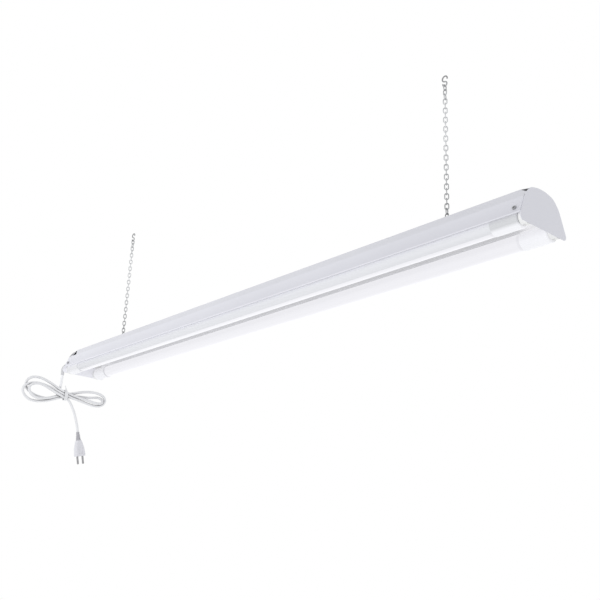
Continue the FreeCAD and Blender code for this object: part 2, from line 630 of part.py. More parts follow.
# plug at the end of the tail, pointing down the cord
ux, uy, uz = 0.0, tail[-1][1] - tail[-2][1], tail[-1][2] - tail[-2][2]
n = math.hypot(uy, uz)
tilt = math.degrees(math.atan2(uy, -uz))


def plug_place(s):
    s.rotate(V(0, 0, 0), V(1, 0, 0), tilt)
    s.translate(V(*tail[-1]))
    return s


REL_L, BODY_L, BLADE_L = 19.0, 35.0, 17.5
rel = Part.makeCone(3.5, 5.6, REL_L, V(0, 0, 0), V(0, 0, -1))
for k in range(4):
    z = -3.4 - k * 3.6
    rr = 3.5 + 2.1 * (-z / REL_L)
    g = Part.makeCylinder(rr + 2, 1.1, V(0, 0, z), V(0, 0, -1)).cut(
        Part.makeCylinder(rr - 0.7, 1.1, V(0, 0, z), V(0, 0, -1)))
    rel = rel.cut(g)
save("plug_relief", plug_place(rel))


def rounded(wx, wy, r, z):
    """Rounded rectangle, wx by wy, at height z."""
    hx, hy = wx / 2.0, wy / 2.0
    q = r * (1 - math.sqrt(0.5))
    e = [Part.LineSegment(V(hx, -hy + r, z), V(hx, hy - r, z)).toShape(),
         Part.Arc(V(hx, hy - r, z), V(hx - q, hy - q, z), V(hx - r, hy, z)).toShape(),
         Part.LineSegment(V(hx - r, hy, z), V(-hx + r, hy, z)).toShape(),
         Part.Arc(V(-hx + r, hy, z), V(-hx + q, hy - q, z), V(-hx, hy - r, z)).toShape(),
         Part.LineSegment(V(-hx, hy - r, z), V(-hx, -hy + r, z)).toShape(),
         Part.Arc(V(-hx, -hy + r, z), V(-hx + q, -hy + q, z), V(-hx + r, -hy, z)).toShape(),
         Part.LineSegment(V(-hx + r, -hy, z), V(hx - r, -hy, z)).toShape(),
         Part.Arc(V(hx - r, -hy, z), V(hx - q, -hy + q, z), V(hx, -hy + r, z)).toShape()]
    return Part.Wire(e)


# the body flares from a narrow neck to the full width of the face
body = Part.makeLoft([rounded(11.4, 12.6, 4.4, -REL_L), rounded(12.6, 17.0, 4.6, -REL_L - 7),
                      rounded(13.8, 21.6, 4.4, -REL_L - 17), rounded(14.0, 24.2, 4.0, -REL_L - BODY_L + 3),
                      rounded(12.8, 23.0, 3.4, -REL_L - BODY_L)], True, True)
for s in (1, -1):
    x0, x1 = sorted((s * 6.25, s * 9.0))
    body = body.cut(box(x0, x1, -4.2, 4.2, -REL_L - BODY_L + 5.0, -REL_L - 15.0))
save("plug_body", plug_place(body))
blades = []
for s in (1, -1):
    b = box(-3.15, 3.15, s * 6.35 - 0.75, s * 6.35 + 0.75, -REL_L - BODY_L - BLADE_L, -REL_L - BODY_L)
    hole = Part.makeCylinder(1.6, 4, V(0, s * 6.35 - 2, -REL_L - BODY_L - BLADE_L + 4.6), V(0, 1, 0))
    b = b.cut(hole)
    ce = [e for e in b.Edges if abs(e.BoundBox.ZMin - e.BoundBox.ZMax) < 1e-6
          and abs(e.BoundBox.ZMin + REL_L + BODY_L + BLADE_L) < 1e-3 and e.BoundBox.XLength < 1e-3]
    if ce:
        b = b.makeChamfer(1.0, ce)
    blades.append(plug_place(b))
save("plug_blades", blades)

print(len(NODES), "nodes,", sum(k for _, k in NODES), "solids")
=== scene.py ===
import bpy
import bmesh
import json
import math
from mathutils import Vector, Matrix


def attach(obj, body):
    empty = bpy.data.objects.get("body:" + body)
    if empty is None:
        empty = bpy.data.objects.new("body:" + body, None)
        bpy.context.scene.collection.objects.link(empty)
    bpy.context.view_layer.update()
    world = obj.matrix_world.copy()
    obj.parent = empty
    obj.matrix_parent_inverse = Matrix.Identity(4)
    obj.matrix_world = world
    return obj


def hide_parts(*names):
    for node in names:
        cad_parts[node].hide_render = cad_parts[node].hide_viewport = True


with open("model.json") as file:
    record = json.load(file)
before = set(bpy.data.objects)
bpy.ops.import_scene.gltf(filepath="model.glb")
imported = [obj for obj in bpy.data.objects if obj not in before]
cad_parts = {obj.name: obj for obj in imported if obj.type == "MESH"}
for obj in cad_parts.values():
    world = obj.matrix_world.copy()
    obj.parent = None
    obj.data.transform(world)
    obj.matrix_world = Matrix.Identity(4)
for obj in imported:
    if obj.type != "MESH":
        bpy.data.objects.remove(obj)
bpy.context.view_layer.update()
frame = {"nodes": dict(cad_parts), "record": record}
scene = bpy.context.scene
coll = scene.collection
nodes = frame["nodes"]

# ------------------------------------------------------------------ camera
cam_data = bpy.data.cameras.new("camera")
cam = bpy.data.objects.new("camera", cam_data)
coll.objects.link(cam)
right = Vector((0.66650, 0.74450, 0.03880))
fwd = Vector((-0.71320, 0.62150, 0.32400)).normalized()
right = (right - fwd * right.dot(fwd)).normalized()
up = right.cross(fwd)
m = Matrix((right, up, -fwd)).transposed().to_4x4()
m.translation = Vector((1.20388, -0.93417, -0.77807))
cam.matrix_world = m
cam_data.lens = 53.293
cam_data.sensor_width = 36.0
cam_data.sensor_fit = "HORIZONTAL"
cam_data.clip_start = 0.05
cam_data.clip_end = 400.0
scene.camera = cam


# ------------------------------------------------------------------ helpers
def link_obj(name, data):
    o = bpy.data.objects.new(name, data)
    coll.objects.link(o)
    return o


def mesh_from_bm(name, bm, smooth=True):
    me = bpy.data.meshes.new(name)
    bm.to_mesh(me)
    bm.free()
    if smooth:
        for p in me.polygons:
            p.use_smooth = True
    return link_obj(name, me)


def nurbs(name, points, radius, order=3, resolution=6, bevel_res=6):
    cu = bpy.data.curves.new(name, "CURVE")
    cu.dimensions = "3D"
    cu.resolution_u = resolution
    sp = cu.splines.new("NURBS")
    sp.points.add(len(points) - 1)
    for q, p in zip(sp.points, points):
        q.co = (p[0], p[1], p[2], 1.0)
        q.radius = radius
    sp.order_u = order
    sp.use_endpoint_u = True
    cu.bevel_depth = 1.0
    cu.bevel_resolution = bevel_res
    cu.use_fill_caps = True
    return link_obj(name, cu)


# ------------------------------------------------------------------ power cord
CORD_D = 0.0058
CORD_POINTS = [
    (-0.6235, -0.0448, -0.3089), (-0.6235, -0.0448, -0.3199), (-0.6249, -0.0445, -0.3306), (-0.6276, -0.0444, -0.3404),
    (-0.6303, -0.0454, -0.3508), (-0.6308, -0.0508, -0.3594), (-0.6308, -0.0598, -0.3638), (-0.6308, -0.0715, -0.3658),
    (-0.6308, -0.0850, -0.3659), (-0.6308, -0.0990, -0.3637), (-0.6308, -0.1112, -0.3596), (-0.6308, -0.1198, -0.3534),
    (-0.6308, -0.1244, -0.3460), (-0.6307, -0.1246, -0.3380), (-0.6304, -0.1208, -0.3308), (-0.6298, -0.1136, -0.3254),
    (-0.6290, -0.1040, -0.3231), (-0.6280, -0.0943, -0.3232), (-0.6266, -0.0838, -0.3257), (-0.6248, -0.0723, -0.3302),
    (-0.6226, -0.0600, -0.3362), (-0.6206, -0.0485, -0.3422), (-0.6195, -0.0380, -0.3462), (-0.6193, -0.0280, -0.3486),
    (-0.6193, -0.0170, -0.3508), (-0.6193, -0.0050, -0.3529), (-0.6193, 0.0085, -0.3544), (-0.6193, 0.0225, -0.3560),
    (-0.6192, 0.0365, -0.3580), (-0.6193, 0.0485, -0.3588), (-0.6202, 0.0586, -0.3574), (-0.6240, 0.0644, -0.3518),
    (-0.6288, 0.0632, -0.3448), (-0.6308, 0.0540, -0.3424), (-0.6308, 0.0425, -0.3448), (-0.6303, 0.0290, -0.3472),
    (-0.6292, 0.0135, -0.3484), (-0.6276, -0.0025, -0.3502), (-0.6262, -0.0160, -0.3532), (-0.6252, -0.0275, -0.3556),
    (-0.6250, -0.0380, -0.3582), (-0.6254, -0.0485, -0.3624), (-0.6262, -0.0605, -0.3676), (-0.6272, -0.0735, -0.3722),
    (-0.6276, -0.0880, -0.3756), (-0.6274, -0.1025, -0.3774), (-0.6266, -0.1155, -0.3756), (-0.6258, -0.1262, -0.3690),
    (-0.6252, -0.1326, -0.3600), (-0.6249, -0.1312, -0.3506), (-0.6248, -0.1226, -0.3426), (-0.6246, -0.1105, -0.3382),
    (-0.6242, -0.0980, -0.3368), (-0.6234, -0.0855, -0.3380), (-0.6224, -0.0730, -0.3409), (-0.6210, -0.0605, -0.3446),
    (-0.6198, -0.0485, -0.3486), (-0.6193, -0.0380, -0.3520), (-0.6193, -0.0280, -0.3544), (-0.6196, -0.0165, -0.3570),
    (-0.6206, -0.0035, -0.3588), (-0.6220, 0.0100, -0.3604), (-0.6232, 0.0235, -0.3626), (-0.6240, 0.0370, -0.3643),
    (-0.6246, 0.0495, -0.3644), (-0.6250, 0.0606, -0.3616), (-0.6252, 0.0690, -0.3550), (-0.6252, 0.0710, -0.3456),
    (-0.6252, 0.0650, -0.3380), (-0.6252, 0.0532, -0.3344), (-0.6252, 0.0395, -0.3335), (-0.6252, 0.0255, -0.3348),
    (-0.6252, 0.0120, -0.3376), (-0.6251, -0.0015, -0.3418), (-0.6250, -0.0145, -0.3460), (-0.6250, -0.0270, -0.3494),
    (-0.6250, -0.0380, -0.3522), (-0.6246, -0.0485, -0.3570), (-0.6236, -0.0605, -0.3622), (-0.6224, -0.0735, -0.3668),
    (-0.6216, -0.0870, -0.3700), (-0.6210, -0.1005, -0.3706), (-0.6204, -0.1110, -0.3668), (-0.6200, -0.1186, -0.3596),
    (-0.6196, -0.1208, -0.3512), (-0.6194, -0.1166, -0.3438), (-0.6192, -0.1070, -0.3396), (-0.6190, -0.0955, -0.3386),
    (-0.6191, -0.0835, -0.3414), (-0.6192, -0.0715, -0.3460), (-0.6193, -0.0600, -0.3504), (-0.6193, -0.0490, -0.3542),
    (-0.6194, -0.0385, -0.3576), (-0.6194, -0.0310, -0.3598), (-0.6200, -0.0246, -0.3626), (-0.6212, -0.0180, -0.3688),
    (-0.6224, -0.0105, -0.3785), (-0.6233, -0.0030, -0.3915), (-0.6239, 0.0033, -0.4070), (-0.6240, 0.0076, -0.4190),
    (-0.6240, 0.0102, -0.4300),
]
cord = nurbs("power_cord", CORD_POINTS, CORD_D / 2)
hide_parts("cord_drop", "cord_hank", "cord_tail")
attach(cord, "fixture")


# ------------------------------------------------------------------ materials
def new_mat(name):
    mt = bpy.data.materials.new(name)
    mt.use_nodes = True
    nt = mt.node_tree
    nt.nodes.clear()
    out = nt.nodes.new("ShaderNodeOutputMaterial")
    bs = nt.nodes.new("ShaderNodeBsdfPrincipled")
    nt.links.new(bs.outputs["BSDF"], out.inputs["Surface"])
    return mt, nt, bs


def coords(nt, scale=(1, 1, 1)):
    tc = nt.nodes.new("ShaderNodeTexCoord")
    mp = nt.nodes.new("ShaderNodeMapping")
    mp.inputs["Scale"].default_value = scale
    nt.links.new(tc.outputs["Object"], mp.inputs["Vector"])
    return mp.outputs["Vector"]


def noise(nt, vec, scale, detail=3.0, rough=0.5):
    n = nt.nodes.new("ShaderNodeTexNoise")
    n.inputs["Scale"].default_value = scale
    n.inputs["Detail"].default_value = detail
    n.inputs["Roughness"].default_value = rough
    nt.links.new(vec, n.inputs["Vector"])
    return n.outputs["Fac"]


def ramp(nt, fac, stops):
    r = nt.nodes.new("ShaderNodeValToRGB")
    els = r.color_ramp.elements
    while len(els) < len(stops):
        els.new(0.5)
    for e, (p, c) in zip(els, stops):
        e.position = p
        e.color = (c[0], c[1], c[2], 1.0)
    nt.links.new(fac, r.inputs["Fac"])
    return r.outputs["Color"]


def remap(nt, fac, lo, hi, a=0.3, b=0.7):
    r = nt.nodes.new("ShaderNodeMapRange")
    r.inputs["From Min"].default_value = a
    r.inputs["From Max"].default_value = b
    r.inputs["To Min"].default_value = lo
    r.inputs["To Max"].default_value = hi
    nt.links.new(fac, r.inputs["Value"])
    return r.outputs["Result"]


def bump(nt, bs, height, strength, distance):
    b = nt.nodes.new("ShaderNodeBump")
    b.inputs["Strength"].default_value = strength
    b.inputs["Distance"].default_value = distance
    nt.links.new(height, b.inputs["Height"])
    nt.links.new(b.outputs["Normal"], bs.inputs["Normal"])
    return b


def shade(c, k):
    return tuple(min(1.0, v * k) for v in c)


def surface(name, base, vary=0.03, cscale=6.0, rough=(0.35, 0.45), rscale=14.0, bscale=900.0, bstr=0.15,
            bdist=0.0002, metallic=0.0, coat=0.0, coat_rough=0.2, stretch=(1, 1, 1), spec=0.5, sheen=0.0, detail=4.0):
    """Plain moulded, painted or plated surface with fine cloudiness, uneven gloss and a fine grain."""
    mt, nt, bs = new_mat(name)
    v = coords(nt, stretch)
    cloud = noise(nt, v, cscale, detail)
    col = ramp(nt, cloud, [(0.3, shade(base, 1.0 - vary)), (0.7, shade(base, 1.0 + vary * 0.4))])
    nt.links.new(col, bs.inputs["Base Color"])
    rn = noise(nt, v, rscale, 3.0)
    nt.links.new(remap(nt, rn, rough[0], rough[1]), bs.inputs["Roughness"])
    gn = noise(nt, v, bscale, 2.0)
    bump(nt, bs, gn, bstr, bdist)
    bs.inputs["Metallic"].default_value = metallic
    bs.inputs["Specular IOR Level"].default_value = spec
    if coat:
        bs.inputs["Coat Weight"].default_value = coat
        bs.inputs["Coat Roughness"].default_value = coat_rough
    if sheen:
        bs.inputs["Sheen Weight"].default_value = sheen
    return mt


def enamel(name, base, inside=False):
    """Baked white enamel on sheet steel: orange peel, faint cloudiness, a little dust on faces that look up; with
    inside set, also painted shade in the closed cavity, a painted highlight and shade on the side, painted light along
    the length and a painted glow round the lamps.
    """
    mt, nt, bs = new_mat(name)
    v = coords(nt)
    cloud = noise(nt, v, 3.5, 5.0, 0.55)
    col = ramp(nt, cloud, [(0.32, shade(base, 0.975)), (0.68, shade(base, 1.012))])
    speck = noise(nt, v, 420.0, 2.0)
    dust = ramp(nt, speck, [(0.66, (0, 0, 0)), (0.74, (1, 1, 1))])
    geo = nt.nodes.new("ShaderNodeNewGeometry")
    sep = nt.nodes.new("ShaderNodeSeparateXYZ")
    nt.links.new(geo.outputs["True Normal"], sep.inputs["Vector"])
    upm = nt.nodes.new("ShaderNodeMapRange")
    upm.inputs["From Min"].default_value = 0.55
    upm.inputs["From Max"].default_value = 1.0
    upm.inputs["To Min"].default_value = 0.0
    upm.inputs["To Max"].default_value = 0.10
    nt.links.new(sep.outputs["Z"], upm.inputs["Value"])
    mul = nt.nodes.new("ShaderNodeMath")
    mul.operation = "MULTIPLY"
    nt.links.new(upm.outputs["Result"], mul.inputs[0])
    nt.links.new(dust, mul.inputs[1])
    mix = nt.nodes.new("ShaderNodeMix")
    mix.data_type = "RGBA"
    nt.links.new(mul.outputs["Value"], mix.inputs["Factor"])
    nt.links.new(col, mix.inputs[6])
    mix.inputs[7].default_value = (0.42, 0.41, 0.39, 1)
    last = mix.outputs[2]
    if inside:
        # painted shade: faces in the closed cavity above the reflector that look inward are painted near-black,
        # standing in for the darkness in there
        tc = nt.nodes.new("ShaderNodeTexCoord")
        off = nt.nodes.new("ShaderNodeVectorMath")
        off.operation = "SUBTRACT"
        off.inputs[1].default_value = (0.0, 0.0, -0.282)
        nt.links.new(tc.outputs["Object"], off.inputs[0])
        dot = nt.nodes.new("ShaderNodeVectorMath")
        dot.operation = "DOT_PRODUCT"
        nt.links.new(off.outputs["Vector"], dot.inputs[0])
        nt.links.new(tc.outputs["Normal"], dot.inputs[1])
        inward = nt.nodes.new("ShaderNodeMath")
        inward.operation = "LESS_THAN"
        inward.inputs[1].default_value = -0.0005
        nt.links.new(dot.outputs["Value"], inward.inputs[0])
        so = nt.nodes.new("ShaderNodeSeparateXYZ")
        nt.links.new(tc.outputs["Object"], so.inputs["Vector"])
        high = nt.nodes.new("ShaderNodeMath")
        high.operation = "GREATER_THAN"
        high.inputs[1].default_value = -0.2685
        nt.links.new(so.outputs["Z"], high.inputs[0])
        both = nt.nodes.new("ShaderNodeMath")
        both.operation = "MULTIPLY"
        nt.links.new(inward.outputs["Value"], both.inputs[0])
        nt.links.new(high.outputs["Value"], both.inputs[1])
        cavity_shade = ramp(nt, noise(nt, v, 30.0, 4.0), [(0.3, (0.035, 0.035, 0.037)), (0.7, (0.055, 0.055, 0.058))])
        mix2 = nt.nodes.new("ShaderNodeMix")
        mix2.data_type = "RGBA"
        nt.links.new(both.outputs["Value"], mix2.inputs["Factor"])
        nt.links.new(last, mix2.inputs[6])
        nt.links.new(cavity_shade, mix2.inputs[7])
        last = mix2.outputs[2]
        # painted highlight along the rolled lower edge, painted shade on the sloping side just above it, and a slightly
        # lighter band higher up the side
        side = ramp(nt, remap(nt, so.outputs["Z"], 0.0, 1.0, -0.2945, -0.2660),
                    [(0.0, (1.17, 1.17, 1.17)), (0.07, (1.15, 1.15, 1.15)), (0.11, (0.955, 0.955, 0.96)),
                     (0.9, (1.03, 1.03, 1.03)), (1.0, (0.985, 0.985, 0.985))])
        geo2 = nt.nodes.new("ShaderNodeSeparateXYZ")
        nt.links.new(tc.outputs["Normal"], geo2.inputs["Vector"])
        ny = nt.nodes.new("ShaderNodeMath")
        ny.operation = "ABSOLUTE"
        nt.links.new(geo2.outputs["Y"], ny.inputs[0])
        sidem = nt.nodes.new("ShaderNodeMath")
        sidem.operation = "GREATER_THAN"
        sidem.inputs[1].default_value = 0.5
        nt.links.new(ny.outputs["Value"], sidem.inputs[0])
        lip_highlight_shade = nt.nodes.new("ShaderNodeMix")
        lip_highlight_shade.data_type = "RGBA"
        lip_highlight_shade.blend_type = "MULTIPLY"
        lip_highlight_shade.clamp_result = False
        nt.links.new(sidem.outputs["Value"], lip_highlight_shade.inputs["Factor"])
        nt.links.new(last, lip_highlight_shade.inputs[6])
        nt.links.new(side, lip_highlight_shade.inputs[7])
        last = lip_highlight_shade.outputs[2]
        # painted light: the long faces are painted paler towards the left end and darker towards the right end
        long_face = nt.nodes.new("ShaderNodeMath")
        long_face.operation = "ABSOLUTE"
        nt.links.new(geo2.outputs["X"], long_face.inputs[0])
        painted_light_falloff = nt.nodes.new("ShaderNodeMix")
        painted_light_falloff.data_type = "FLOAT"
        nt.links.new(remap(nt, long_face.outputs["Value"], 0.0, 1.0), painted_light_falloff.inputs[0])
        nt.links.new(remap(nt, so.outputs["X"], 1.115, 0.935, -0.6, 0.6), painted_light_falloff.inputs[2])
        painted_light_falloff.inputs[3].default_value = 1.0
        painted_light_falloff_scale = nt.nodes.new("ShaderNodeVectorMath")
        painted_light_falloff_scale.operation = "SCALE"
        nt.links.new(last, painted_light_falloff_scale.inputs[0])
        nt.links.new(painted_light_falloff.outputs[0], painted_light_falloff_scale.inputs["Scale"])
        last = painted_light_falloff_scale.outputs["Vector"]
        # painted light: inward faces below the cavity glow, standing in for lamp light on the faces round the lamps,
        # less on faces that look along X
        low = nt.nodes.new("ShaderNodeMath")
        low.operation = "SUBTRACT"
        nt.links.new(inward.outputs["Value"], low.inputs[0])
        nt.links.new(both.outputs["Value"], low.inputs[1])
        nx = nt.nodes.new("ShaderNodeMath")
        nx.operation = "ABSOLUTE"
        nt.links.new(geo2.outputs["X"], nx.inputs[0])
        painted_glow_mask = nt.nodes.new("ShaderNodeMath")
        painted_glow_mask.operation = "MULTIPLY"
        nt.links.new(low.outputs["Value"], painted_glow_mask.inputs[0])
        nt.links.new(remap(nt, nx.outputs["Value"], 1.0, 0.62), painted_glow_mask.inputs[1])
        painted_glow = ramp(nt, painted_glow_mask.outputs["Value"], [(0.0, (0, 0, 0)), (1.0, (PAINTED_GLOW, PAINTED_GLOW, PAINTED_GLOW * 1.03))])
        nt.links.new(painted_glow, bs.inputs["Emission Color"])
        bs.inputs["Emission Strength"].default_value = 1.0
    nt.links.new(last, bs.inputs["Base Color"])
    rn = noise(nt, v, 22.0, 4.0)
    nt.links.new(remap(nt, rn, 0.30, 0.42), bs.inputs["Roughness"])
    peel = noise(nt, v, 650.0, 2.0, 0.4)
    bump(nt, bs, peel, 0.10, 0.00025)
    bs.inputs["Specular IOR Level"].default_value = 0.45
    bs.inputs["Coat Weight"].default_value = 0.25
    bs.inputs["Coat Roughness"].default_value = 0.22
    return mt


def extruded(name, base, rough, lines=2600.0, strength=0.12, metallic=0.0):
    """Drawn along X: faint die lines and streaks that run the length of the tube."""
    mt, nt, bs = new_mat(name)
    v = coords(nt, (0.9, 130.0, 130.0))
    streak = noise(nt, v, 1.6, 4.0)
    col = ramp(nt, streak, [(0.3, shade(base, 0.965)), (0.7, shade(base, 1.01))])
    nt.links.new(col, bs.inputs["Base Color"])
    v2 = coords(nt, (0.6, lines, lines))
    fine = noise(nt, v2, 1.0, 2.0)
    bump(nt, bs, fine, strength, 0.0001)
    rn = noise(nt, coords(nt), 9.0, 3.0)
    nt.links.new(remap(nt, rn, rough[0], rough[1]), bs.inputs["Roughness"])
    bs.inputs["Metallic"].default_value = metallic
    return mt


PAINTED_GLOW = 0.36
PAN_PAINTED_GLOW = 0.27
M = {}
M["painted_steel"] = enamel("painted_steel", (0.702, 0.700, 0.746), inside=True)
M["reflector_white"] = enamel("reflector_white", (0.45, 0.452, 0.456))
# painted light: the reflector pan glows, standing in for lamp light falling on it, and glows brighter near the right
# end
nt = M["reflector_white"].node_tree
bs = nt.nodes["Principled BSDF"]
tc = nt.nodes.new("ShaderNodeTexCoord")
so = nt.nodes.new("ShaderNodeSeparateXYZ")
nt.links.new(tc.outputs["Object"], so.inputs["Vector"])
nt.links.new(ramp(nt, remap(nt, so.outputs["X"], 0.0, 1.0, 0.542, 0.560),
                  [(0.0, (PAN_PAINTED_GLOW, PAN_PAINTED_GLOW, PAN_PAINTED_GLOW)), (1.0, (0.45, 0.446, 0.45))]), bs.inputs["Emission Color"])
bs.inputs["Emission Strength"].default_value = 1.0
M["galvanised_steel"] = surface("galvanised_steel", (0.62, 0.63, 0.64), 0.12, 60.0, (0.32, 0.5), 80.0, 500.0, 0.1,
                                0.0002, metallic=0.9)
M["screw_steel"] = surface("screw_steel", (0.42, 0.42, 0.43), 0.15, 300.0, (0.28, 0.45), 500.0, 2500.0, 0.15, 0.0001,
                           metallic=1.0)
M["holder_plastic"] = surface("holder_plastic", (0.84, 0.84, 0.83), 0.02, 30.0, (0.4, 0.5), 60.0, 1800.0, 0.12, 0.0001)
M["contact_brass"] = surface("contact_brass", (0.66, 0.47, 0.22), 0.1, 200.0, (0.25, 0.4), 300.0, 3000.0, 0.1, 0.0001,
                             metallic=1.0)
M["rotor_plastic"] = surface("rotor_plastic", (0.76, 0.76, 0.75), 0.02, 40.0, (0.4, 0.5), 60.0, 1800.0, 0.12, 0.0001)
M["lamp_aluminium"] = extruded("lamp_aluminium", (0.74, 0.742, 0.765), (0.34, 0.46), 2200.0, 0.10)
M["lamp_lens"] = extruded("lamp_lens", (0.17, 0.17, 0.176), (0.30, 0.38), 1500.0, 0.04)
# a dull seam where the lens runs into each end cap
nt = M["lamp_lens"].node_tree
bs = nt.nodes["Principled BSDF"]
tc = nt.nodes.new("ShaderNodeTexCoord")
so = nt.nodes.new("ShaderNodeSeparateXYZ")
nt.links.new(tc.outputs["Object"], so.inputs["Vector"])
ax = nt.nodes.new("ShaderNodeMath")
ax.operation = "ABSOLUTE"
nt.links.new(so.outputs["X"], ax.inputs[0])
seam = nt.nodes.new("ShaderNodeMath")
seam.operation = "MULTIPLY"
nt.links.new(remap(nt, ax.outputs["Value"], 0.0, 1.0, 0.5515, 0.5535), seam.inputs[0])
nt.links.new(remap(nt, so.outputs["X"], 1.0, 0.25, -0.3, 0.3), seam.inputs[1])
nt.links.new(ramp(nt, seam.outputs["Value"],
                  [(0.0, (0.965, 0.96, 1.0)), (1.0, (0.64, 0.64, 0.68))]), bs.inputs["Emission Color"])
M["lamp_lens"].node_tree.nodes["Principled BSDF"].inputs["Emission Strength"].default_value = 0.695
M["lamp_lens"].node_tree.nodes["Principled BSDF"].inputs["Coat Weight"].default_value = 0.15
M["circuit_board"] = surface("circuit_board", (0.80, 0.82, 0.80), 0.03, 40.0, (0.3, 0.4), 60.0, 800.0, 0.05, 0.0001)
M["lamp_cap_plastic"] = surface("lamp_cap_plastic", (0.60, 0.605, 0.62), 0.02, 25.0, (0.30, 0.38), 40.0, 1500.0, 0.08,
                                0.0001)
# painted light: the caps glow on the lens side, though they are no lamp; painted shade: the outer, upper flank under
# the hood glows little and is painted darker, more so towards the right end
nt = M["lamp_cap_plastic"].node_tree
bs = nt.nodes["Principled BSDF"]
tc = nt.nodes.new("ShaderNodeTexCoord")
so = nt.nodes.new("ShaderNodeSeparateXYZ")
nt.links.new(tc.outputs["Object"], so.inputs["Vector"])
ay = nt.nodes.new("ShaderNodeMath")
ay.operation = "ABSOLUTE"
nt.links.new(so.outputs["Y"], ay.inputs[0])
hood_shade_mask = nt.nodes.new("ShaderNodeMath")
hood_shade_mask.operation = "MULTIPLY"
nt.links.new(remap(nt, ay.outputs["Value"], 0.0, 1.0, 0.0350, 0.0400), hood_shade_mask.inputs[0])
nt.links.new(remap(nt, so.outputs["Z"], 0.0, 1.0, -0.3066, -0.3030), hood_shade_mask.inputs[1])
flank2 = nt.nodes.new("ShaderNodeMath")
flank2.operation = "MULTIPLY"
nt.links.new(hood_shade_mask.outputs["Value"], flank2.inputs[0])
nt.links.new(remap(nt, so.outputs["X"], 0.45, 1.0, -0.3, 0.3), flank2.inputs[1])
hood_shade_mask = flank2
src = bs.inputs["Base Color"].links[0].from_socket
painted_hood_shade = nt.nodes.new("ShaderNodeVectorMath")
painted_hood_shade.operation = "SCALE"
nt.links.new(src, painted_hood_shade.inputs[0])
nt.links.new(remap(nt, hood_shade_mask.outputs["Value"], 1.0, 0.94, 0.0, 1.0), painted_hood_shade.inputs["Scale"])
nt.links.new(painted_hood_shade.outputs["Vector"], bs.inputs["Base Color"])
nt.links.new(ramp(nt, hood_shade_mask.outputs["Value"], [(0.0, (0.30, 0.295, 0.305)), (1.0, (0.05, 0.05, 0.05))]),
             bs.inputs["Emission Color"])
bs.inputs["Emission Strength"].default_value = 1.0
M["pin_nickel"] = surface("pin_nickel", (0.66, 0.64, 0.58), 0.08, 300.0, (0.22, 0.35), 500.0, 3000.0, 0.08, 0.0001,
                          metallic=1.0)
M["driver_steel"] = enamel("driver_steel", (0.74, 0.74, 0.74))
M["component_plastic"] = surface("component_plastic", (0.06, 0.06, 0.055), 0.2, 60.0, (0.4, 0.55), 60.0, 1200.0, 0.1,
                                 0.0001)
M["wire_insulation"] = surface("wire_insulation", (0.78, 0.78, 0.78), 0.05, 50.0, (0.35, 0.45), 90.0, 1500.0, 0.08,
                               0.0001)
M["splice_nylon"] = surface("splice_nylon", (0.50, 0.06, 0.04), 0.08, 80.0, (0.35, 0.45), 90.0, 1500.0, 0.08, 0.0001)
M["cord_pvc"] = surface("cord_pvc", (0.82, 0.82, 0.832), 0.045, 35.0, (0.42, 0.55), 70.0, 1600.0, 0.18, 0.00015,
                        sheen=0.08)
M["bushing_plastic"] = surface("bushing_plastic", (0.66, 0.66, 0.67), 0.04, 60.0, (0.42, 0.55), 90.0, 1500.0, 0.15,
                               0.0001)
M["tie_plastic"] = surface("tie_plastic", (0.86, 0.86, 0.87), 0.05, 90.0, (0.35, 0.5), 120.0, 1500.0, 0.15, 0.0001)
M["plug_plastic"] = surface("plug_plastic", (0.74, 0.735, 0.77), 0.04, 60.0, (0.42, 0.55), 80.0, 1400.0, 0.18, 0.0001)
M["blade_nickel"] = surface("blade_nickel", (0.36, 0.355, 0.36), 0.1, 200.0, (0.25, 0.4), 300.0, 2500.0, 0.1, 0.0001,
                            metallic=1.0)
M["zinc_steel"] = surface("zinc_steel", (0.72, 0.725, 0.73), 0.14, 350.0, (0.26, 0.44), 420.0, 2600.0, 0.15, 0.0001,
                          metallic=0.8)

M["relief_plastic"] = surface("relief_plastic", (0.46, 0.455, 0.48), 0.06, 60.0, (0.42, 0.55), 80.0, 1400.0, 0.18,
                              0.0001)

# painted reflection: the zinc is painted darker near the housing and near the hook than halfway up, standing in for
# darker surroundings mirrored there
nt = M["zinc_steel"].node_tree
bs = nt.nodes["Principled BSDF"]
src = bs.inputs["Base Color"].links[0].from_socket
tc = nt.nodes.new("ShaderNodeTexCoord")
so = nt.nodes.new("ShaderNodeSeparateXYZ")
nt.links.new(tc.outputs["Object"], so.inputs["Vector"])
tone = ramp(nt, remap(nt, so.outputs["Z"], 0.0, 1.0, -0.250, 0.0),
            [(0.0, (0.50, 0.50, 0.50)), (0.28, (0.74, 0.74, 0.74)), (0.55, (1.0, 1.0, 1.0)), (0.80, (0.95, 0.95, 0.95)),
             (0.93, (0.66, 0.66, 0.66)), (1.0, (0.44, 0.44, 0.44))])
painted_reflection = nt.nodes.new("ShaderNodeVectorMath")
painted_reflection.operation = "MULTIPLY"
nt.links.new(src, painted_reflection.inputs[0])
nt.links.new(tone, painted_reflection.inputs[1])
nt.links.new(painted_reflection.outputs["Vector"], bs.inputs["Base Color"])

slot_of = {s["node"]: s["material_slot"] for s in frame["record"]["subparts"] if s.get("node")}
for name, o in nodes.items():
    mt = M[slot_of[name]]
    if not o.data.materials:
        o.data.materials.append(mt)
    else:
        for i in range(len(o.data.materials)):
            o.data.materials[i] = mt
nt = M["cord_pvc"].node_tree
bs = nt.nodes["Principled BSDF"]
link = bs.inputs["Base Color"].links[0]
src = link.from_socket
